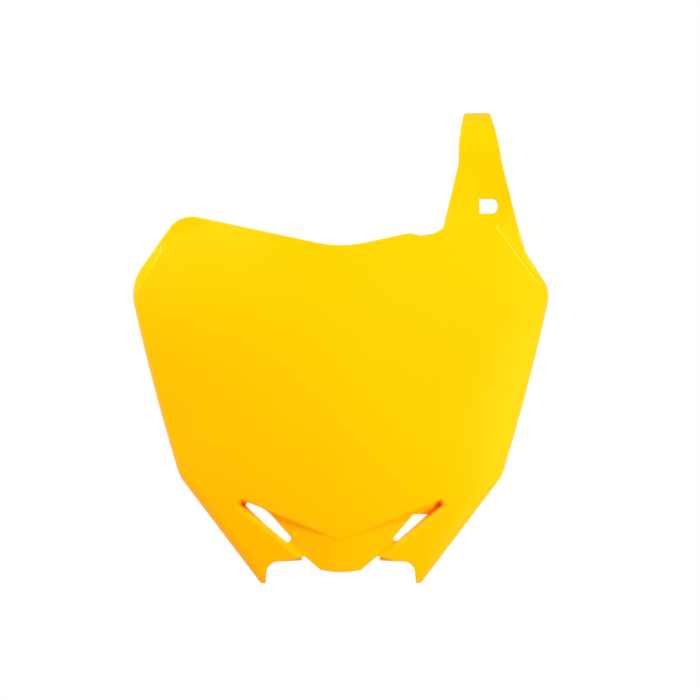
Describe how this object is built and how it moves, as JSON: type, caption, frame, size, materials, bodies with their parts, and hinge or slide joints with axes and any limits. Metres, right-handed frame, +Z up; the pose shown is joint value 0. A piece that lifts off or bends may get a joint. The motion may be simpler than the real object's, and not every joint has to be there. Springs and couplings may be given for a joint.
{
  "type": "racing number board",
  "caption": "One-piece moulded front number plate for a race motorcycle: convex shield face, turned-back rim, vented chin and an offset strap that curls over the handlebar.",
  "frame": {"origin": "back of the chin edge, on the plate's plane of symmetry", "axes": "+X to the viewer's right when facing the plate, +Y to the back (towards the rider), +Z up; the face looks along -Y"},
  "size_m": [0.2814, 0.0781, 0.3183],
  "materials": {
    "yellow_plastic": "gloss"
  },
  "bodies": {
    "root": {"number_board": "yellow_plastic"}
  },
  "joints": []
}
